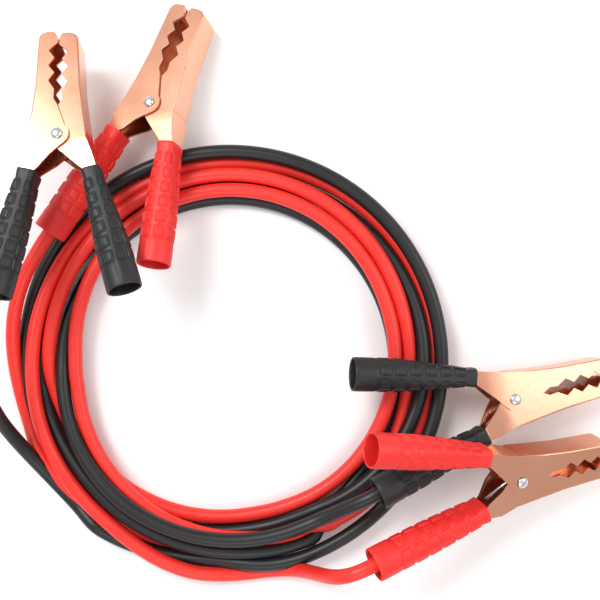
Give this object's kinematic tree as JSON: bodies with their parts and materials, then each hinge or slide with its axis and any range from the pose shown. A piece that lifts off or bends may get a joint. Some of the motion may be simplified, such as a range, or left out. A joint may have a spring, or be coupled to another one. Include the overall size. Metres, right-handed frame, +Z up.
{
  "type": "jumper cable set",
  "caption": "Jumper cables: a red and a black cable wound in one flat coil, with a toothed copper spring clamp in matching grips on every end.",
  "frame": {"origin": "on the floor, under the middle of the box round the four clamps", "axes": "+X towards the two lower clamps' jaws, +Y towards the two upper clamps' jaws, +Z up from the floor"},
  "size_m": [0.3601, 0.338, 0.0808],
  "materials": {
    "copper_plate": "copper-plated pressed steel, glossy",
    "zinc_steel": "bright zinc-plated steel",
    "red_grip": "semi-matte soft PVC",
    "black_grip": "semi-matte soft PVC",
    "red_cable": "satin PVC sheath",
    "black_cable": "satin PVC sheath"
  },
  "bodies": {
    "cable_set": {"cable_coil": "red_cable", "upper_black_cable_jaw": "copper_plate", "upper_black_cable_grip": "black_grip", "upper_black_rivet": "zinc_steel", "upper_black_spring": "zinc_steel", "upper_black_lead": "black_cable", "upper_red_cable_jaw": "copper_plate", "upper_red_cable_grip": "red_grip", "upper_red_rivet": "zinc_steel", "upper_red_spring": "zinc_steel", "upper_red_lead": "red_cable", "lower_black_cable_jaw": "copper_plate", "lower_black_cable_grip": "black_grip", "lower_black_rivet": "zinc_steel", "lower_black_spring": "zinc_steel", "lower_black_lead": "black_cable", "lower_red_cable_jaw": "copper_plate", "lower_red_cable_grip": "red_grip", "lower_red_rivet": "zinc_steel", "lower_red_spring": "zinc_steel", "lower_red_lead": "red_cable"},
    "upper_black_free_half": {"upper_black_free_jaw": "copper_plate", "upper_black_free_grip": "black_grip"},
    "upper_red_free_half": {"upper_red_free_jaw": "copper_plate", "upper_red_free_grip": "red_grip"},
    "lower_black_free_half": {"lower_black_free_jaw": "copper_plate", "lower_black_free_grip": "black_grip"},
    "lower_red_free_half": {"lower_red_free_jaw": "copper_plate", "lower_red_free_grip": "red_grip"}
  },
  "joints": [
    {"name": "upper_black_squeeze", "type": "hinge", "parent": "cable_set", "child": "upper_black_free_half", "pos_m": [-0.13805, 0.08135, 0.0439], "axis": [0.0135, -0.2585, -0.9659], "range_deg": [0, 28], "stiffness_Nm_per_rad": 1.5, "springref_deg": -34.38, "deforming": ["upper_black_spring"]},
    {"name": "upper_red_squeeze", "type": "hinge", "parent": "cable_set", "child": "upper_red_free_half", "pos_m": [-0.08855, 0.10315, 0.02072], "axis": [0.2711, -0.2551, -0.9281], "range_deg": [0, 28], "stiffness_Nm_per_rad": 1.5, "springref_deg": -34.38, "deforming": ["upper_red_spring"]},
    {"name": "lower_black_squeeze", "type": "hinge", "parent": "cable_set", "child": "lower_black_free_half", "pos_m": [0.11595, -0.06425, 0.02041], "axis": [0.1649, 0.0187, 0.9861], "range_deg": [0, 28], "stiffness_Nm_per_rad": 1.5, "springref_deg": -34.38, "deforming": ["lower_black_spring"]},
    {"name": "lower_red_squeeze", "type": "hinge", "parent": "cable_set", "child": "lower_red_free_half", "pos_m": [0.11535, -0.10685, 0.03219], "axis": [0.361, -0.2388, 0.9015], "range_deg": [0, 21], "stiffness_Nm_per_rad": 1.5, "springref_deg": -34.38, "deforming": ["lower_red_spring"]}
  ]
}
